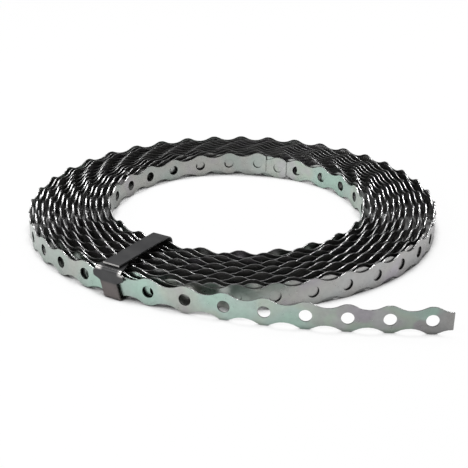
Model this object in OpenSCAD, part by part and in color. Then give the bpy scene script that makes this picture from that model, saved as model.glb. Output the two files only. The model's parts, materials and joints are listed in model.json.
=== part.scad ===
// A roll of wavy perforated steel strap, lying flat, with its free end run out and one sheet clip round it.
// Millimetres, +Z up. The origin is on the coil's axis at floor level. +X runs along the straight free end.

/* [Strap] */
// Width of the strap over its bulges
strap_w = 17; // [14:0.5:21]
// Thickness of the strap's sheet
strap_t = 0.8; // [0.5:0.1:1.2]
// Width that is left at a waist, halfway between two holes
waist_w = 10.8; // [9.5:0.1:12.5]
// Length of the straight crest that the punch leaves on each bulge
crest_l = 2.4; // [1:0.2:6]
// Hole diameter
hole_d = 7.5; // [5:0.1:7.6]
// Distance from hole to hole along the strap
hole_pitch = 23.5; // [20:0.5:30]

/* [Coil] */
// Diameter of the eye
eye_d = 182; // [150:2:220]
// Number of turns
turns = 14; // [8:1:18]
// Distance from one turn to the next
turn_pitch = 4.1; // [3.4:0.1:5]
// Places round the coil where each turn is joined to the next
joints = 6; // [4:1:8]
// Length of each of those joints along the turn
joint_l = 6; // [4:0.5:8]
// How far the joints stay within the waists
joint_drop = 0.2; // [0.1:0.1:0.5]

/* [Free end] */
// Holes in the part that bends away from the coil
bend_holes = 6; // [4:1:8]
// Holes in the straight part at its end
straight_holes = 2; // [1:1:6]
// Angle round the coil over which the free end bends away
peel_angle = 23; // [16:0.5:28]
// How far the root of the free end is let into the outer turn
root_sink = 0.6; // [0.4:0.1:0.7]

/* [Clip] */
// Thickness of the clip's sheet
clip_t = 0.9; // [0.6:0.1:1.2]
// Width of the clip's legs
clip_w = 12; // [9:0.5:14]
// Width of the head that the flap is bent from
head_w = 22; // [18:0.5:26]
// Height of the head at its full width, below the flap
head_h = 5; // [4:0.5:6]
// Height over which the outer leg flares into the head
flare_h = 3; // [2:0.5:4]
// Rounding of the head's upper corners
ear_r = 1.6; // [1:0.2:2]
// How far the outer leg's foot stands aside from its head
clip_skew = 2.4; // [0:0.2:4]
// Length of the flap under the top leg
flap_l = 10; // [6:0.5:14]
// Space between the clip's sheet and the strap
clip_play = 0.5; // [0.3:0.1:1]
// Space between the clip's inner leg and the eye's wall
inner_play = 2.2; // [0.8:0.1:3]
// Space between the flap and the top leg
flap_gap = 1.1; // [0.4:0.1:2]
// Inner radius of the clip's lower bends
small_bend_r = 0.8; // [0.5:0.1:1]
// Inner radius of the bend from the head into the flap
head_bend_r = 1.4; // [0.8:0.1:1.8]
// Inner radius of the bend from the top leg into the eye
large_bend_r = 4.5; // [2.5:0.1:6]
// Distance from the outer leg's face back to the top leg's cut end
lip_setback = 3.6; // [2:0.1:5]
// Place of the clip round the coil, measured from +X
clip_angle = -118.7; // [-170:0.1:-118.5]

/* [Hidden] */
$fn = 96;
big_fn = 180;
zinc = [0.72, 0.74, 0.72];
dark_steel = [0.22, 0.22, 0.23];
hole_fn = 48;
flare_steps = 6;
ear_steps = 4;
over = 1; // how far a cutting tool reaches past what it cuts

inner_r = eye_d / 2 + strap_t / 2; // middle of the innermost turn
outer_r = inner_r + (turns - 1) * turn_pitch; // middle of the outermost turn
coil_r = outer_r + strap_t / 2; // outside of the coil
joint_z = waist_w / 2 - joint_drop; // top of a joint, above the strap's middle

bulge_r = sqrt(pow(strap_w / 2, 2) + pow(crest_l / 2, 2)); // radius of a bulge about its hole

peel_start = -90 - peel_angle; // where the free end leaves the coil
peel_r = bend_holes * hole_pitch / (peel_angle * PI / 180); // radius of its bend
// distance along the free end from the start of its bend to its root, where it lies right in the outer turn
root_l = sqrt(2 * root_sink / (1 / outer_r - 1 / peel_r));

head_top = strap_w + clip_t + clip_play; // underside of the flap, above turns that ride over the lower leg
top_leg_z = head_top + clip_t + flap_gap; // underside of the top leg
inner_leg_x = eye_d / 2 - inner_play; // face of the inner leg that looks at the eye's wall
outer_leg_x = coil_r + clip_play; // face of the outer leg that looks at the coil

// Holes in one full turn of a given radius
function holes_round(r) = round(2 * PI * r / hole_pitch);

// Radius of the hollow between two bulges, which it meets without a corner
function hollow_r(pitch) =
    (pow(pitch / 2, 2) + pow(waist_w / 2, 2) - pow(bulge_r, 2)) / (2 * bulge_r - waist_w);

// What the punch takes from both edges of the strap between two bulges
module hollow_pair(pitch) {
    r = hollow_r(pitch);
    meet_z = bulge_r * (waist_w / 2 + r) / (bulge_r + r);
    for (side = [0, 1])
        mirror([0, side]) difference() {
            union() {
                translate([0, waist_w / 2 + r]) circle(r);
                translate([-pitch / 2, meet_z]) square([pitch, strap_w / 2 + over - meet_z]);
            }
            for (x = [-pitch / 2, pitch / 2]) translate([x, 0]) circle(bulge_r);
        }
}

// A strip of plain strap bent to radius r, from one angle to another, its middle at z = 0
module bent_strip(r, from, to) {
    rotate([0, 0, from])
        rotate_extrude(angle = to - from, $fn = big_fn)
            translate([r - strap_t / 2, -strap_w / 2]) square([strap_t, strap_w]);
}

// Stands what it is given upright at angle a, facing outwards, as a cutting tool through strap bent to radius r
module punch(r, a, reach = 0) {
    rotate([0, 0, a]) translate([r - strap_t / 2 - over, 0, 0]) rotate([90, 0, 90])
        linear_extrude(strap_t + 2 * over + reach) children();
}

// One closed turn of the strap with its holes and waves, apart from the first ones, which are left for later.
// The first hole follows on the waist where the free end leaves the coil.
module perforated_turn(r, for_later) {
    n = holes_round(r);
    difference() {
        bent_strip(r, 0, 360);
        for (k = [for_later:n - 1]) {
            punch(r, peel_start + (k + 0.5) * 360 / n) circle(d = hole_d, $fn = hole_fn);
            punch(r, peel_start + (k + 1) * 360 / n) hollow_pair(2 * PI * r / n);
        }
    }
}

// Where joint i of gap g lies, gaps being counted from the eye. Those of one gap stand between those of the next,
// and beside a perforated turn each lies on a waist.
function joint_angle(g, i) =
    let (place = (i + (g % 2) / 2) / joints,
         n = holes_round(g == 0 ? inner_r : outer_r))
    peel_start + 360 * (g == 0 || g == turns - 2 ? round(place * n) / n : place);

// The turns between the two perforated ones, and the joints that make one solid of all the turns
module middle_turns() {
    for (k = [1:turns - 2]) bent_strip(inner_r + k * turn_pitch, 0, 360);
    for (g = [0:turns - 2], i = [0:joints - 1]) {
        r = inner_r + g * turn_pitch;
        a = joint_l / (r + turn_pitch / 2) * 180 / PI;
        rotate([0, 0, joint_angle(g, i) - a / 2]) rotate_extrude(angle = a, $fn = big_fn)
            translate([r, -joint_z]) square([turn_pitch, 2 * joint_z]);
    }
}

// Straight strap with its waves, from one waist to another
module straight_strap(n) {
    rotate([90, 0, 0]) linear_extrude(strap_t, center = true) difference() {
        translate([0, -strap_w / 2]) square([n * hole_pitch, strap_w]);
        for (k = [0:n]) translate([k * hole_pitch, 0]) hollow_pair(hole_pitch);
        for (k = [0:n - 1]) translate([(k + 0.5) * hole_pitch, 0]) circle(d = hole_d, $fn = hole_fn);
    }
}

// The free end: a bend that grows out of the outer turn, then a straight run to the cut.
// Its first waist is left to outer_turn.
module free_end() {
    step = peel_angle / bend_holes;
    root_angle = root_l / peel_r * 180 / PI;
    middle = outer_r - root_sink - peel_r;
    translate([middle * cos(peel_start), middle * sin(peel_start), 0]) {
        difference() {
            bent_strip(peel_r, peel_start + root_angle, -90);
            for (k = [2:bend_holes]) punch(peel_r, peel_start + k * step) hollow_pair(hole_pitch);
            for (k = [1:bend_holes - 1])
                punch(peel_r, peel_start + (k + 0.5) * step) circle(d = hole_d, $fn = hole_fn);
        }
        translate([0, -peel_r, 0]) straight_strap(straight_holes);
    }
}

// The outermost turn with the free end. At the first hole and waist both still lie together, and are punched as one.
module outer_turn() {
    step = 360 / holes_round(outer_r);
    stand_off = pow(1.5 * hole_pitch, 2) / 2 * (1 / outer_r - 1 / peel_r); // of the free end, past that waist
    difference() {
        union() {
            perforated_turn(outer_r, 1);
            free_end();
        }
        punch(outer_r, peel_start + step / 2) circle(d = hole_d, $fn = hole_fn);
        punch(outer_r, peel_start + step, stand_off) hollow_pair(hole_pitch);
    }
}

// Way under the coil in which the clip's lower leg lies
module clip_way() {
    rotate([0, 0, clip_angle]) translate([inner_leg_x - over, -clip_w / 2 - clip_play, -over])
        cube([outer_leg_x - inner_leg_x + 2 * over, clip_w + clip_skew + 2 * clip_play, over + clip_t + clip_play]);
}

module strap() {
    color(zinc) difference() {
        translate([0, 0, strap_w / 2]) {
            outer_turn();
            middle_turns();
            perforated_turn(inner_r, 0);
        }
        clip_way();
    }
}

// A quarter bend of sheet about a line along Y, inner radius r, turned by a
module sheet_bend(x, z, r, a, w) {
    translate([x, 0, z]) rotate([90, 0, 0]) rotate([0, 0, a])
        rotate_extrude(angle = 90) translate([r, -w / 2]) square([clip_t, w]);
}

// A flat leg of sheet between two corners in the plane across the coil
module leg(x1, x2, z1, z2) {
    translate([x1, -clip_w / 2, z1]) cube([x2 - x1, clip_w, z2 - z1]);
}

// A level sheet of width w1 at x1 and w2 at x2, where it stands aside by skew
module tapered_leg(x1, x2, z, w1, w2, skew = 0) {
    translate([0, 0, z]) linear_extrude(clip_t)
        polygon([[x1, -w1 / 2], [x2, skew - w2 / 2], [x2, skew + w2 / 2], [x1, w1 / 2]]);
}

// Outline of the outer leg: narrow below, flared into a head with rounded upper corners
module outer_leg_outline() {
    z_low = clip_t + small_bend_r;
    z_flare = head_top - head_h - flare_h;
    z_top = head_top - head_bend_r;
    flare = [for (i = [0:flare_steps]) let (u = i / flare_steps)
        [clip_w / 2 + (head_w - clip_w) / 2 * (1 - cos(180 * u)) / 2, z_flare + flare_h * u]];
    ear = [for (i = [0:ear_steps]) let (u = 90 * i / ear_steps)
        [head_w / 2 - ear_r * (1 - cos(u)), z_top - ear_r * (1 - sin(u))]];
    foot = [[clip_skew + clip_w / 2, z_low], [clip_skew - clip_w / 2, z_low]];
    half = concat(flare, ear);
    last = len(half) - 1;
    other_half = [for (i = [0:last]) [-half[last - i][0], half[last - i][1]]];
    polygon(concat([foot[0]], half, other_half, [foot[1]]));
}

module clip() {
    low = small_bend_r;
    high = large_bend_r;
    lip_x = outer_leg_x + clip_t - lip_setback;
    flap_x = outer_leg_x - head_bend_r;
    flap_w = head_w - 2 * ear_r;
    color(dark_steel) rotate([0, 0, clip_angle]) {
        leg(inner_leg_x + high, lip_x, top_leg_z, top_leg_z + clip_t);
        sheet_bend(inner_leg_x + high, top_leg_z - high, high, 90, clip_w);
        leg(inner_leg_x - clip_t, inner_leg_x, clip_t + low, top_leg_z - high);
        sheet_bend(inner_leg_x + low, clip_t + low, low, 180, clip_w);
        tapered_leg(inner_leg_x + low, outer_leg_x - low, 0, clip_w, clip_w, clip_skew);
        translate([0, clip_skew, 0]) sheet_bend(outer_leg_x - low, clip_t + low, low, 270, clip_w);
        translate([outer_leg_x, 0, 0]) rotate([90, 0, 90]) linear_extrude(clip_t) outer_leg_outline();
        sheet_bend(flap_x, head_top - head_bend_r, head_bend_r, 0, flap_w);
        tapered_leg(flap_x - flap_l, flap_x, head_top, clip_w, flap_w);
    }
}

strap();
clip();
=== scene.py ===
import json
import math

import bpy
import numpy as np
from mathutils import Matrix, Vector, noise

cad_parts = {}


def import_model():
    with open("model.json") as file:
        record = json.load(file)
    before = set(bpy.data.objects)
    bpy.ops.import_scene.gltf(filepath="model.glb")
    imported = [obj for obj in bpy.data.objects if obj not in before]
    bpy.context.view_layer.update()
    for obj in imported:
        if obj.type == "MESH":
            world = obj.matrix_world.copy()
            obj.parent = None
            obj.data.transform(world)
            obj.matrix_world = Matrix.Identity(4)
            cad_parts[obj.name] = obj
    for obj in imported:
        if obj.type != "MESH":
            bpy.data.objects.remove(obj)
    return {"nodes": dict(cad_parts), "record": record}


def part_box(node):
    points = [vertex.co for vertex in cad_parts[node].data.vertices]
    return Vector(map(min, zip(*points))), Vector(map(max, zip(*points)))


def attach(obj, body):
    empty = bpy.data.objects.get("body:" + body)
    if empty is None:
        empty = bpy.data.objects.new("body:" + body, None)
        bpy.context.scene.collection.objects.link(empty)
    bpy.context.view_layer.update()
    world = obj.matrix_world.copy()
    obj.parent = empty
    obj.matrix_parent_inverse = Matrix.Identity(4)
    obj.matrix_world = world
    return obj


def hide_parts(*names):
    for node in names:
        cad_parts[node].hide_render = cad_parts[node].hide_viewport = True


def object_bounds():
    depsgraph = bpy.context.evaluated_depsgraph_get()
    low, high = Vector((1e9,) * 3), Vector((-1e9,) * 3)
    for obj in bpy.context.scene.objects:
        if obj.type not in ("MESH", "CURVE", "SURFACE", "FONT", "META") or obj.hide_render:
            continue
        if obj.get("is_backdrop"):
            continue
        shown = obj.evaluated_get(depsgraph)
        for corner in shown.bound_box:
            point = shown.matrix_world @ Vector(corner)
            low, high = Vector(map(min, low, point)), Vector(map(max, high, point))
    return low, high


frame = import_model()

MM = 0.001
cad_lo, cad_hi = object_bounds()

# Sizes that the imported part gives
strap_lo, strap_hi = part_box("strap")
mounts = {m["name"]: m for m in frame["record"]["mounts"]}
end_holes = mounts["free_end_holes"]
STRAP_W = strap_hi.z - strap_lo.z
PITCH = end_holes["dims"]["spacing_x_mm"] * MM
HOLE_R = end_holes["dims"]["hole_r_mm"] * MM
END_X, END_Y, END_Z = end_holes["pos_m"]

# The strap's section and outline
STRAP_T = 0.8 * MM
WAIST_W = 10.8 * MM
CREST_L = 2.4 * MM  # the flat top of each bulge

# The free end: a straight stretch at the cut, and a bend that grows out of the coil at its root
STRAIGHT_L = 2 * PITCH
BEND_L = 6 * PITCH
PEEL_ANGLE = math.radians(23)
ROOT_ANGLE = -math.pi / 2 - PEEL_ANGLE
ROOT_SINK = 0.6 * MM  # how far the root lies inside the coil's outer radius

# The coil: one spiral, wound clockwise inwards
TURNS = 13.51
OUTER_R = strap_hi.x - STRAP_T / 2
INNER_END_R = 90.0 * MM
ROUTE_STEP = 0.5 * MM  # between the points of the strap's middle line

# How far its outermost and innermost turn are out of round, as shares of cos 2a, sin 2a, cos a and sin a
OUTER_OVAL = (0.80 * MM, 2.02 * MM, 0.10 * MM, -0.65 * MM)
INNER_OVAL = (-1.31 * MM, -0.75 * MM, -0.31 * MM, -0.26 * MM)

# How loosely it is wound: the radius wanders, and the top edge leans out or in
WANDER = 0.70 * MM
LEAN = 0.30 * MM
WANDER_NOISE = (1.3, 5.0)  # how finely it varies round the coil, and where in the noise it starts
LEAN_NOISE = (2.1, 11.0)
NOISE_PER_TURN = 0.9  # how far the noise moves on from one turn to the next
NOISE_GAIN = 1.6
NOISE_POINTS = 1200

# The angles from the root between which each of these grows in
OVAL_GROWS = (0, math.pi / 3)
WANDER_GROWS = (math.pi / 2, math.pi)
LEAN_GROWS = (0.5, 2.0)

# Where turns have settled against their neighbours: turns from the root, half the extent in turns,
# and how far outwards
SETTLED = ((2.825, 0.20, 2.6 * MM), (3.825, 0.19, 1.7 * MM), (4.825, 0.18, 0.8 * MM),
           (12.464, 0.12, -2.3 * MM), (11.464, 0.12, -3.4 * MM), (10.464, 0.12, -2.6 * MM),
           (9.464, 0.12, -1.7 * MM), (8.464, 0.12, -0.9 * MM), (11.60, 0.12, -1.3 * MM))
# Where a turn lies against the one outside it: turns from the root, half the extent in turns,
# and the space left
PRESSED = ((1.825, 0.22, 0.30 * MM),)
# The middle shares of those extents that move all the way
SETTLED_CORE = 0.2
PRESSED_CORE = 0.6

# Where the holes drift against an even pitch: from and to along the strap, and by how much, in metres
DRIFT = ((0.43, 0.50, 0.0026), (0.63, 0.80, -0.0078), (1.1, 1.6, -0.0052), (2.0, 5.0, 0.0185),
         (9.60, 10.02, 0.0042))

# Its two lengths, the second hooked in behind the first one's end: pitches from the free end to the
# first hole, number of holes, the cuts' distance from the first and the last hole in pitches, and
# how far outwards its start stands
LENGTHS = ((0.5, 406, 0.5, 0.30, 0.0), (405.19, 25, 0.35, 0.29, 1.0 * MM))
HOOKED_L = 3 * PITCH  # the stretch in which the second length comes back to the spiral

# Where the strap stands above the floor: over the clip's lower leg, and at the end in the eye
CLIP_ANGLE = math.radians(-118.7)
CLIP_LIFT = 0.9 * MM
CLIP_LIFT_ENDS = (math.radians(8), math.radians(45))  # from the clip, from full to none
CLIP_LIFT_STARTS = 0.3  # share of the free end's bend that stays on the floor
END_LIFT = 2.4 * MM
END_LIFT_L = 3.2 * PITCH

# The mesh's points: along the outline from each hole's middle in pitches, across the strap between two
# holes in half widths, and as many round a hole as round its cell
OUTLINE = np.array([-0.380, -0.276, -0.183, -0.102, -0.049, 0.049, 0.102, 0.183, 0.276, 0.380])
COLUMN = np.linspace(-1, 1, 5)
OUTLINE_N = len(OUTLINE)
COLUMN_N = len(COLUMN)
HOLE_N = 2 * OUTLINE_N + 2 * COLUMN_N
SHARP_ANGLE = math.radians(35)


def smooth(low, high, x):
    """0 before low, 1 after high, and a smooth step between them."""
    t = np.clip((x - low) / (high - low), 0, 1)
    return t * t * (3 - 2 * t)


def oval(shape, angle):
    """How far a turn of that shape lies outside its circle."""
    two_cos, two_sin, cos, sin = shape
    return (two_cos * np.cos(2 * angle) + two_sin * np.sin(2 * angle)
            + cos * np.cos(angle) + sin * np.sin(angle))


def waver(angle, wound, scale, seed):
    """A smooth variation round the coil that differs from turn to turn, mostly between -1 and 1."""
    coarse = np.linspace(0, len(angle) - 1, NOISE_POINTS).astype(int)
    values = [noise.noise(Vector((math.cos(angle[i]) * scale, math.sin(angle[i]) * scale,
                                  wound[i] / (2 * math.pi) * NOISE_PER_TURN + seed))) for i in coarse]
    return np.interp(np.arange(len(angle)), coarse, np.array(values) * NOISE_GAIN)


def near(turns, middle, extent, core):
    """1 about a place in the coil, falling to 0 at the extent; its core is the share that stays at 1."""
    return 1 - smooth(core, 1, np.abs(turns - middle) / extent)


def free_end():
    """Points of the free end: the straight stretch from its cut, and the bend up to the coil's root."""
    cut_x = END_X + STRAIGHT_L / 2
    straight_y = END_Y + STRAP_T / 2
    s = np.arange(0, STRAIGHT_L, ROUTE_STEP)
    straight = np.column_stack([cut_x - s, np.full_like(s, straight_y)])
    bend_r = BEND_L / PEEL_ANGLE
    angle = -math.pi / 2 - np.arange(0, BEND_L, ROUTE_STEP) / bend_r
    bend = np.column_stack([cut_x - STRAIGHT_L + bend_r * np.cos(angle),
                            straight_y + bend_r + bend_r * np.sin(angle)])
    return np.concatenate([straight, bend])


def coil():
    """Points of the spiral, inwards from its root, and how far the strap's top edge leans out at each."""
    wound = np.arange(0, TURNS * 2 * math.pi, ROUTE_STEP / OUTER_R)
    angle = ROOT_ANGLE - wound
    share = wound / wound[-1]
    first_r = OUTER_R - ROOT_SINK
    r = first_r + (INNER_END_R - first_r) * share
    out_of_round = (1 - share) * oval(OUTER_OVAL, angle) + share * oval(INNER_OVAL, angle)
    r += smooth(*OVAL_GROWS, wound) * out_of_round
    r += smooth(*WANDER_GROWS, wound) * WANDER * waver(angle, wound, *WANDER_NOISE)
    lean = smooth(*LEAN_GROWS, wound) * LEAN * waver(angle, wound, *LEAN_NOISE)
    turns = wound / (2 * math.pi)
    for middle, extent, outwards in SETTLED:
        r += outwards * near(turns, middle, extent, SETTLED_CORE)
    for middle, extent, space in PRESSED:
        against = near(turns, middle, extent, PRESSED_CORE)
        r += against * (np.interp(turns - 1, turns, r) - STRAP_T - space - r)
        lean += against * (np.interp(turns - 1, turns, lean) - lean)
    return np.column_stack([r * np.cos(angle), r * np.sin(angle)]), lean


class Route:
    """The middle line of the strap, from the cut of its free end to the cut in the eye."""

    def __init__(self):
        free = free_end()
        wound, lean = coil()
        self.xy = np.concatenate([free, wound])
        self.lean = np.concatenate([np.zeros(len(free)), lean])
        steps = np.hypot(*np.diff(self.xy, axis=0).T)
        self.s = np.concatenate([[0], np.cumsum(steps)])
        tangent = np.gradient(self.xy, self.s, axis=0)
        tangent /= np.hypot(tangent[:, :1], tangent[:, 1:])
        self.out = np.column_stack([-tangent[:, 1], tangent[:, 0]])
        # from here on s is the length that the holes go by
        self.s -= sum(gain * smooth(start, end, self.s) for start, end, gain in DRIFT)
        self.z = self.lift_at_clip() + self.lift_at_end()

    def lift_at_clip(self):
        """The rise over the clip's lower leg, which starts in the free end's bend."""
        angle = np.arctan2(self.xy[:, 1], self.xy[:, 0])
        from_clip = np.abs((angle - CLIP_ANGLE + math.pi) % (2 * math.pi) - math.pi)
        starts = STRAIGHT_L + CLIP_LIFT_STARTS * BEND_L
        on_coil = smooth(starts, STRAIGHT_L + BEND_L, self.s)
        return CLIP_LIFT * (1 - smooth(*CLIP_LIFT_ENDS, from_clip)) * on_coil

    def lift_at_end(self):
        """The rise of the strap's last stretch in the eye."""
        first, holes, _, end_cut, _ = LENGTHS[-1]
        whole = (first + holes - 1 + end_cut) * PITCH
        return END_LIFT * smooth(whole - END_LIFT_L, whole, self.s)

    def at(self, s, column):
        return np.interp(s, self.s, column)

    def place(self, s, across, depth):
        """Points of the strap: s along it, across its width and depth outwards, both from its middle."""
        centre = np.column_stack([self.at(s, self.xy[:, 0]), self.at(s, self.xy[:, 1])])
        out = np.column_stack([self.at(s, self.out[:, 0]), self.at(s, self.out[:, 1])])
        shift = depth + self.at(s, self.lean) * across / (STRAP_W / 2)
        xy = centre + out * shift[:, None]
        return np.column_stack([xy, END_Z + self.at(s, self.z) + across])


def half_width(u):
    """Half of the strap's width at a distance u from a hole, along the strap."""
    bulge_r = math.hypot(STRAP_W / 2, CREST_L / 2)
    waist = WAIST_W / 2
    hollow_r = ((PITCH / 2) ** 2 + waist ** 2 - bulge_r ** 2) / (2 * bulge_r - WAIST_W)
    meet = bulge_r * (PITCH / 2) / (bulge_r + hollow_r)
    u = np.abs(u)
    bulge = np.sqrt(np.maximum(bulge_r ** 2 - u ** 2, 0))
    hollow = waist + hollow_r - np.sqrt(np.maximum(hollow_r ** 2 - (PITCH / 2 - u) ** 2, 0))
    return np.where(u < meet, np.minimum(bulge, STRAP_W / 2), hollow)


class Points:
    """The points of the strap's mesh, always laid on its inner and its outer face at once."""

    def __init__(self, route):
        self.route = route
        self.places = []
        self.count = 0

    def add(self, s, across, outwards):
        """Lays points and gives their numbers, a row for each face."""
        rows = []
        for depth in (-STRAP_T / 2, STRAP_T / 2):
            self.places.append(self.route.place(s, across, depth + outwards))
            rows.append(np.arange(self.count, self.count + len(s)))
            self.count += len(s)
        return rows


def lay_length(points, first, holes, start_cut, end_cut, hooked):
    """The numbers of one length's points: columns across it between the holes, its edges and the rims."""
    columns = np.empty((holes + 1, 2, COLUMN_N), int)
    edges = np.empty((holes, 2, 2, OUTLINE_N), int)
    rims = np.empty((holes, 2, HOLE_N), int)
    turn = np.arange(HOLE_N) / HOLE_N * 2 * math.pi

    def add(s, across):
        return points.add(s, across, hooked * (1 - smooth(0, HOOKED_L, s - first * PITCH)))

    # from the hole that follows each column, or would follow the last one, back to it, in pitches
    back = np.full(holes + 1, -0.5)
    back[0] = -start_cut
    back[-1] = end_cut - 1
    for c, u in enumerate(back):
        s = np.full(COLUMN_N, (first + c + u) * PITCH)
        columns[c] = add(s, COLUMN * half_width(min(abs(u), 1 + u) * PITCH))
    for c in range(holes):
        middle = (first + c) * PITCH
        u = OUTLINE * PITCH
        # a cut that is nearer than half a pitch draws the outline's points in
        if c == 0:
            u = np.where(OUTLINE < 0, u * start_cut / 0.5, u)
        if c == holes - 1:
            u = np.where(OUTLINE > 0, u * end_cut / 0.5, u)
        for edge, sign in enumerate((-1, 1)):
            edges[c, :, edge] = add(middle + u, sign * half_width(u))
        rims[c] = add(middle + HOLE_R * np.cos(turn), HOLE_R * np.sin(turn))
    return columns, edges, rims


def quads(a, b, c, d, flip=False):
    """Quads with those rows of corners, or the same ones facing the other way."""
    corners = (d, c, b, a) if flip else (a, b, c, d)
    return np.stack(corners, axis=-1).reshape(-1, 4)


def between(low, high, flip):
    """The quads between two rows of points."""
    return quads(low[..., :-1], low[..., 1:], high[..., 1:], high[..., :-1], flip)


def join_points(columns, edges, rims):
    """The quads of one length: its two faces, its edges with the cuts, and the holes' walls."""
    after = np.roll(np.arange(HOLE_N), -1)
    half = COLUMN_N // 2
    # once round a cell, from the middle of its far column
    cells = np.concatenate([
        columns[1:, :, half:], edges[:, :, 1, ::-1], columns[:-1, :, ::-1],
        edges[:, :, 0], columns[1:, :, :half]], axis=2)
    face_quads = []
    for side in (0, 1):
        rim, cell = rims[:, side], cells[:, side]
        face_quads.append(quads(rim, cell, cell[:, after], rim[:, after], flip=side == 1))
    edge_quads = []
    for edge in (0, 1):
        inner, outer = (np.concatenate([columns[:-1, side, -edge][:, None], edges[:, side, edge],
                                        columns[1:, side, -edge][:, None]], axis=1) for side in (0, 1))
        edge_quads.append(between(inner, outer, flip=edge == 0))
    for cut, flip in ((0, False), (-1, True)):
        edge_quads.append(between(*columns[cut], flip))
    inner, outer = rims[:, 0], rims[:, 1]
    wall_quads = quads(inner, inner[:, after], outer[:, after], outer)
    return np.concatenate(face_quads), np.concatenate(edge_quads), wall_quads


def strap_mesh(route):
    """Both lengths of the strap, a cell for each hole, with a material for faces, edges and walls."""
    points = Points(route)
    lengths = [join_points(*lay_length(points, *length)) for length in LENGTHS]
    groups = [np.concatenate(group) for group in zip(*lengths)]
    faces = np.concatenate(groups)
    mesh = bpy.data.meshes.new("strap_wound")
    mesh.from_pydata(np.concatenate(points.places).tolist(), [], faces.tolist())
    material = np.repeat(np.arange(len(groups)), [len(group) for group in groups])
    mesh.polygons.foreach_set("material_index", material)
    mesh.polygons.foreach_set("use_smooth", np.ones(len(faces), bool))
    mesh.update()
    mesh.set_sharp_from_angle(angle=SHARP_ANGLE)
    return mesh


# A Mix node's sockets for colours
MIX_FACTOR, MIX_A, MIX_B, MIX_RESULT = 0, 6, 7, 2


class Nodes:
    """The node tree of a material or of the world, written as calls."""

    def __init__(self, owner):
        owner.use_nodes = True
        self.owner = owner
        self.tree = owner.node_tree
        self.shader = self.tree.nodes.get("Principled BSDF")

    def node(self, kind, **settings):
        """A new node; settings that start with a capital are its inputs, the others its properties."""
        n = self.tree.nodes.new("ShaderNode" + kind)
        for key, value in settings.items():
            if key[0].isupper():
                n.inputs[key.replace("_", " ")].default_value = value
            else:
                setattr(n, key, value)
        return n

    def link(self, out, into):
        self.tree.links.new(out, into)

    def noise(self, vector, scale, detail, roughness=0.5):
        n = self.node("TexNoise", Scale=scale, Detail=detail, Roughness=roughness)
        self.link(vector, n.inputs["Vector"])
        return n.outputs["Fac"]

    def shelter(self, distance):
        """1 in the open, and less the more there is within that distance."""
        return self.node("AmbientOcclusion", samples=8, Distance=distance).outputs["AO"]

    def ramp(self, fac, *stops):
        """Colours by a value: each stop is its place and its colour."""
        n = self.node("ValToRGB")
        while len(n.color_ramp.elements) < len(stops):
            n.color_ramp.elements.new(0.5)
        for element, (place, colour) in zip(n.color_ramp.elements, stops):
            element.position = place
            element.color = (*colour, 1)
        self.link(fac, n.inputs["Fac"])
        return n.outputs["Color"]

    def greys(self, fac, *stops):
        """Greys by a value: each stop is its place and its grey."""
        return self.ramp(fac, *((place, (grey, grey, grey)) for place, grey in stops))

    def mix(self, fac, a, b):
        """Colour a where fac is 0, and b where it is 1."""
        n = self.node("Mix", data_type="RGBA")
        self.link(fac, n.inputs[MIX_FACTOR])
        self.link(a, n.inputs[MIX_A])
        self.link(b, n.inputs[MIX_B])
        return n.outputs[MIX_RESULT]

    def times(self, a, b):
        """Two colours multiplied."""
        n = self.node("Mix", data_type="RGBA", blend_type="MULTIPLY")
        n.inputs[MIX_FACTOR].default_value = 1.0
        self.link(a, n.inputs[MIX_A])
        self.link(b, n.inputs[MIX_B])
        return n.outputs[MIX_RESULT]

    def spread(self, fac, low, high):
        """A value from 0 to 1, spread from low to high."""
        n = self.node("MapRange", To_Min=low, To_Max=high)
        self.link(fac, n.inputs["Value"])
        return n.outputs["Result"]

    def step(self, value, none, full):
        """0 at none, 1 at full, and smooth between them."""
        n = self.node("MapRange", interpolation_type="SMOOTHSTEP", From_Min=none, From_Max=full)
        self.link(value, n.inputs["Value"])
        return n.outputs["Result"]

    def along(self, vector, direction):
        n = self.node("VectorMath", operation="DOT_PRODUCT")
        self.link(vector, n.inputs[0])
        n.inputs[1].default_value = direction
        return n.outputs["Value"]

    def size(self, vector):
        n = self.node("VectorMath", operation="LENGTH")
        self.link(vector, n.inputs[0])
        return n.outputs["Value"]

    def join(self, operation, a, b):
        n = self.node("Math", operation=operation)
        self.link(a, n.inputs[0])
        self.link(b, n.inputs[1])
        return n.outputs[0]

    def both(self, a, b):
        return self.join("MULTIPLY", a, b)

    def either(self, a, b):
        return self.join("MAXIMUM", a, b)

    def bump(self, height, strength, distance):
        n = self.node("Bump", Strength=strength, Distance=distance)
        self.link(height, n.inputs["Height"])
        self.link(n.outputs["Normal"], self.shader.inputs["Normal"])


# The zinc's clouds, from the low to the high places of their noise
PLAIN = ((0.34, (0.41, 0.415, 0.415)), (0.50, (0.415, 0.41, 0.40)), (0.66, (0.42, 0.40, 0.43)))
PALE = ((0.34, (0.385, 0.445, 0.405)), (0.46, (0.405, 0.43, 0.41)),
        (0.56, (0.43, 0.43, 0.405)), (0.66, (0.425, 0.41, 0.42)))
GREEN = ((0.34, (0.405, 0.55, 0.48)), (0.50, (0.43, 0.53, 0.485)),
         (0.60, (0.455, 0.52, 0.455)), (0.70, (0.48, 0.485, 0.485)))

# Where the zinc looks different in the photo, in metres from none to full. First by the distance from
# the origin:
ON_FREE_END = (0.1465, 0.149)
ON_OUTER_TURN = (0.136, 0.139)
ON_INNER_TURN = (0.097, 0.094)
# Then by x:
PALE_OUTER_X = (0.08, 0.02)
GREEN_END_X = (0.08, 0.03)
GREEN_BLOTCHES_X = (0.135, 0.115)
GREEN_CLIP_RIGHT_X = (-0.02, -0.04)
GREEN_CLIP_LEFT_X = (-0.11, -0.07)
GREEN_EYE_X = (0.0, 0.05)
# painted shade: darker towards the right on the free end and the outer turn, and towards the left in the
# eye
SHADE_END_X = (-0.01, 0.11)
SHADE_OUTER_X = (0.104, 0.132)
SHADE_EYE_X = (0.03, -0.01)
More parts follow.
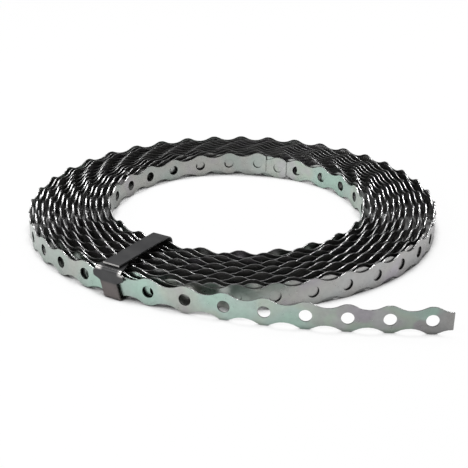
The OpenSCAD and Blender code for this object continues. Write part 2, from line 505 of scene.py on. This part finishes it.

# How deep the painted shade is there, with the free end as 1, and what the zinc keeps of its colour in
# the deepest painted shade
SHADE_OUTER = 0.5
SHADE_EYE = 0.55
DEEPEST_SHADE = 0.66


def zinc_tint(m, place, x, end, outer, inner):
    """Soft clouds: green on the free end, at the clip's x on the outer turn and right in the eye; pale
    on the outer turn's left and in the rest of the eye; plain elsewhere."""
    clouds = m.noise(place, scale=38.0, detail=2.0)
    blotches = m.step(m.noise(place, scale=52.0, detail=1.0), 0.46, 0.54)
    towards_cut = m.both(blotches, m.step(x, *GREEN_BLOTCHES_X))
    on_end = m.both(end, m.either(m.step(x, *GREEN_END_X), towards_cut))
    at_clip = m.both(m.step(x, *GREEN_CLIP_RIGHT_X), m.step(x, *GREEN_CLIP_LEFT_X))
    by_clip = m.both(outer, at_clip)
    in_eye = m.both(inner, m.step(x, *GREEN_EYE_X))
    pale_at = m.either(m.both(outer, m.step(x, *PALE_OUTER_X)), inner)
    tint = m.mix(pale_at, m.ramp(clouds, *PLAIN), m.ramp(clouds, *PALE))
    return m.mix(m.either(m.either(on_end, by_clip), in_eye), tint, m.ramp(clouds, *GREEN))


def zinc_painted_shade(m, x, end, outer, inner):
    """What the zinc keeps of its colour under painted shade: less towards the free end's cut, on the
    outer turn's far right and left in the eye."""
    on_end = m.both(end, m.step(x, *SHADE_END_X))
    on_outer = m.both(outer, m.spread(m.step(x, *SHADE_OUTER_X), 0.0, SHADE_OUTER))
    in_eye = m.both(inner, m.spread(m.step(x, *SHADE_EYE_X), 0.0, SHADE_EYE))
    return m.greys(m.either(m.either(on_end, on_outer), in_eye), (0.0, 1.0), (1.0, DEEPEST_SHADE))


def zinc():
    """Galvanised sheet: pale metal with soft clouds and patches, with painted shade between the turns and
    in places.
    """
    m = Nodes(bpy.data.materials.new("zinc"))
    place = m.node("TexCoord").outputs["Object"]
    x = m.along(place, (1, 0, 0))
    r = m.size(place)
    parts = [m.step(r, *where) for where in (ON_FREE_END, ON_OUTER_TURN, ON_INNER_TURN)]
    patches = m.noise(place, scale=260.0, detail=4.0, roughness=0.6)
    shade = m.greys(patches, (0.30, 0.86), (0.70, 1.0))
    # almost black between the turns: mostly the photo's deep shadow there, and not the metal's own colour
    sheltered = m.greys(m.shelter(0.006), (0.20, 0.12), (0.60, 1.0))
    colour = m.times(zinc_tint(m, place, x, *parts), zinc_painted_shade(m, x, *parts))
    colour = m.times(m.times(colour, sheltered), shade)
    m.link(colour, m.shader.inputs["Base Color"])
    m.link(m.spread(patches, 0.23, 0.35), m.shader.inputs["Roughness"])
    m.shader.inputs["Metallic"].default_value = 1.0
    m.bump(m.noise(place, scale=900.0, detail=3.0), strength=0.10, distance=0.0002)
    return m.owner


# The darkest and lightest grey of the punched metal: bare on the strap's edges, and inside the holes
# darkened to a painted shade, where the photo shows it dark
EDGE_GREYS = (0.25, 0.43)
HOLE_SHADE_GREYS = (0.05, 0.10)


def cut_edge(name, dark, light):
    """Punched metal, a little uneven."""
    m = Nodes(bpy.data.materials.new(name))
    place = m.node("TexCoord").outputs["Object"]
    grain = m.noise(place, scale=1200.0, detail=3.0)
    m.link(m.greys(grain, (0.3, dark), (0.7, light)), m.shader.inputs["Base Color"])
    m.link(m.spread(grain, 0.24, 0.36), m.shader.inputs["Roughness"])
    m.shader.inputs["Metallic"].default_value = 1.0
    m.bump(m.noise(place, scale=480.0, detail=2.0), strength=1.0, distance=0.00034)
    return m.owner


# The clip's colours, from the low to the high places of their noise
BLACK = ((0.3, (0.026, 0.026, 0.028)), (0.7, (0.044, 0.044, 0.045)))
BROWN = ((0.3, (0.085, 0.075, 0.073)), (0.7, (0.125, 0.108, 0.104)))
# bare steel at the cut end, and a painted highlight on the head's corners
BARE_AND_HIGHLIGHT = ((0.3, (0.42, 0.41, 0.40)), (0.7, (0.62, 0.61, 0.60)))

# Where the clip changes, in metres from none to full: by the distance out from the coil's axis, up from
# the floor, and across the clip to the right
LIP_R = strap_hi.x - 2.2 * MM  # cut end of the clip's top leg
LIP_OUT = (LIP_R - 0.0003, LIP_R - 0.0001)
LIP_UP = (0.0202, 0.0204)
FOOT_OUT = (0.1440, 0.1455)
FOOT_UP = (0.0112, 0.0096)
HEAD_OUT = (0.1440, 0.1450)
# the head's corners, where a highlight is painted
LEFT_CORNER_ACROSS = (-0.0040, -0.0070)
LEFT_CORNER_UP = (0.0171, 0.0181)
RIGHT_CORNER_ACROSS = (0.0062, 0.0086)
RIGHT_CORNER_UP = (0.0155, 0.0172)


def dark_steel():
    """Black lacquered strip: bare at its cut end, with painted highlights on the head's corners, browner
    at the foot.
    """
    m = Nodes(bpy.data.materials.new("dark_steel"))
    place = m.node("TexCoord").outputs["Object"]
    cloud = m.noise(place, scale=120.0, detail=4.0)
    outwards = m.along(place, (math.cos(CLIP_ANGLE), math.sin(CLIP_ANGLE), 0))
    across = m.along(place, (-math.sin(CLIP_ANGLE), math.cos(CLIP_ANGLE), 0))
    up = m.along(place, (0, 0, 1))
    foot = m.both(m.step(up, *FOOT_UP), m.step(outwards, *FOOT_OUT))
    lacquer = m.mix(foot, m.ramp(cloud, *BLACK), m.ramp(cloud, *BROWN))
    cut_end = m.both(m.step(outwards, *LIP_OUT), m.step(up, *LIP_UP))
    left = m.both(m.step(across, *LEFT_CORNER_ACROSS), m.step(up, *LEFT_CORNER_UP))
    right = m.both(m.step(across, *RIGHT_CORNER_ACROSS), m.step(up, *RIGHT_CORNER_UP))
    # painted highlight on the head's corners
    corners = m.both(m.either(left, right), m.step(outwards, *HEAD_OUT))
    bare_and_highlit = m.either(cut_end, corners)
    m.link(m.mix(bare_and_highlit, lacquer, m.ramp(cloud, *BARE_AND_HIGHLIGHT)), m.shader.inputs["Base Color"])
    m.link(bare_and_highlit, m.shader.inputs["Metallic"])
    m.link(m.spread(cloud, 0.30, 0.46), m.shader.inputs["Roughness"])
    m.shader.inputs["Specular IOR Level"].default_value = 0.35
    m.bump(m.noise(place, scale=900.0, detail=3.0), strength=0.15, distance=0.0002)
    return m.owner


def strap():
    """The wound strap, in the place of the turned coil."""
    mesh = strap_mesh(Route())
    # the holes' walls carry a painted shade, almost black
    for material in (zinc(), cut_edge("cut_edge", *EDGE_GREYS), cut_edge("shaded_hole_wall", *HOLE_SHADE_GREYS)):
        mesh.materials.append(material)
    obj = bpy.data.objects.new("strap_wound", mesh)
    bpy.context.scene.collection.objects.link(obj)
    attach(obj, "root")
    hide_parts("strap")


def clip():
    """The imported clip, with a better finish."""
    materials = frame["nodes"]["clip"].data.materials
    materials.clear()
    materials.append(dark_steel())


# The photo's view: solved from the even spacing of the free end's holes
SENSOR_W = 36
FOCAL_LENGTH = 896.7 / 468  # as a multiple of the frame's width
YAW, TILT, ROLL = math.radians(-2.27), math.radians(23.78), math.radians(0.51)
CAMERA_PLACE = Vector((22.9, -600.3, 251.9)) * MM

FLOOR_REACH = 3.0
FLOOR_IN_METAL = 0.25  # how much of the floor's white the metal sees

# The room's greys: dim walls, and pale overhead and in front
DIM = 0.18
PALE_WALL = 0.55

# The lamps: name, place, aim, size and power
LAMPS = (("key", (-0.75, -0.60, 0.7), (-0.15, -0.1, 0), (0.5, 0.5), 6.3),
         ("back_left", (-0.47, 0.50, 1.40), (-0.47, 0, 0), (0.20, 0.9), 8.5),
         ("back_right", (0.37, 0.77, 1.28), (0.1, 0, 0), (0.15, 0.15), 5.0),
         ("right", (0.92, 0.95, 0.95), (0, 0, 0), (0.22, 0.22), 3.5))


def camera():
    """A camera at the photo's place and angle."""
    data = bpy.data.cameras.new("camera")
    data.sensor_width = SENSOR_W
    data.lens = FOCAL_LENGTH * SENSOR_W
    obj = bpy.data.objects.new("camera", data)
    ahead = Vector((math.sin(YAW) * math.cos(TILT), math.cos(YAW) * math.cos(TILT), -math.sin(TILT)))
    right = Vector((math.cos(YAW), -math.sin(YAW), 0))
    up = right.cross(ahead)
    x = right * math.cos(ROLL) + up * math.sin(ROLL)
    y = up * math.cos(ROLL) - right * math.sin(ROLL)
    turn = Matrix((x, y, -ahead)).transposed().to_4x4()
    obj.matrix_world = Matrix.Translation(CAMERA_PLACE) @ turn
    bpy.context.scene.collection.objects.link(obj)
    bpy.context.scene.camera = obj


def floor_material():
    """White to the camera and in part to the metal, with a painted shadow close to the object."""
    m = Nodes(bpy.data.materials.new("floor"))
    m.shader.inputs["Roughness"].default_value = 0.9
    m.shader.inputs["Specular IOR Level"].default_value = 0.0
    # painted contact shadow: close to the object the floor's colour darkens and its white fades
    shelter = m.shelter(0.012)
    m.link(m.greys(shelter, (0.2, 0.05), (0.7, 0.88)), m.shader.inputs["Base Color"])
    white = m.node("Emission", Color=(1, 1, 1, 1), Strength=1.0)
    path = m.node("LightPath")
    seen = m.node("Math", operation="MULTIPLY_ADD")
    m.link(path.outputs["Is Glossy Ray"], seen.inputs[0])
    seen.inputs[1].default_value = FLOOR_IN_METAL
    m.link(path.outputs["Is Camera Ray"], seen.inputs[2])
    share = m.node("Math", operation="MULTIPLY", use_clamp=True)
    m.link(seen.outputs[0], share.inputs[0])
    m.link(m.greys(shelter, (0.46, 0.0), (0.67, 0.96)), share.inputs[1])
    mix = m.node("MixShader")
    m.link(share.outputs[0], mix.inputs["Fac"])
    m.link(m.shader.outputs["BSDF"], mix.inputs[1])
    m.link(white.outputs["Emission"], mix.inputs[2])
    m.link(mix.outputs["Shader"], m.tree.nodes["Material Output"].inputs["Surface"])
    return m.owner


def floor():
    """A wide, pale floor under the object."""
    mesh = bpy.data.meshes.new("floor")
    r = FLOOR_REACH
    mesh.from_pydata([(-r, -r, 0), (r, -r, 0), (r, r, 0), (-r, r, 0)], [], [(0, 1, 2, 3)])
    mesh.materials.append(floor_material())
    obj = bpy.data.objects.new("floor", mesh)
    bpy.context.scene.collection.objects.link(obj)
    obj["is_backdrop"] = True


def world():
    """A dim room, pale overhead and in front; the camera sees plain white."""
    room = bpy.data.worlds.new("world")
    m = Nodes(room)
    m.tree.nodes.clear()
    towards = m.node("SeparateXYZ")
    m.link(m.node("TexCoord").outputs["Generated"], towards.inputs[0])
    front = m.node("MapRange", From_Min=-0.2, From_Max=-0.8)
    m.link(towards.outputs["Y"], front.inputs["Value"])
    walls = m.node("Mix", data_type="RGBA")
    m.link(front.outputs["Result"], walls.inputs[MIX_FACTOR])
    m.link(m.greys(towards.outputs["Z"], (0.50, DIM), (0.85, PALE_WALL)), walls.inputs[MIX_A])
    walls.inputs[MIX_B].default_value = (PALE_WALL, PALE_WALL, PALE_WALL, 1)
    light = m.node("Background")
    m.link(walls.outputs[MIX_RESULT], light.inputs["Color"])
    white = m.node("Background", Color=(1, 1, 1, 1))
    mix = m.node("MixShader")
    m.link(m.node("LightPath").outputs["Is Camera Ray"], mix.inputs["Fac"])
    m.link(light.outputs[0], mix.inputs[1])
    m.link(white.outputs[0], mix.inputs[2])
    m.link(mix.outputs[0], m.node("OutputWorld").inputs["Surface"])
    bpy.context.scene.world = room


def lamp(name, place, aim, size, power):
    """A rectangular lamp, aimed at a point; metres and watts."""
    data = bpy.data.lights.new(name, "AREA")
    data.shape = "RECTANGLE"
    data.size, data.size_y = size
    data.energy = power
    obj = bpy.data.objects.new(name, data)
    obj.location = place
    obj.rotation_euler = (Vector(aim) - Vector(place)).to_track_quat("-Z", "Y").to_euler()
    bpy.context.scene.collection.objects.link(obj)


strap()
clip()
camera()
floor()
world()
for settings in LAMPS:
    lamp(*settings)
bpy.context.scene.view_settings.view_transform = "Standard"

[[list(v) for v in box] for box in ((cad_lo, cad_hi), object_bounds())]
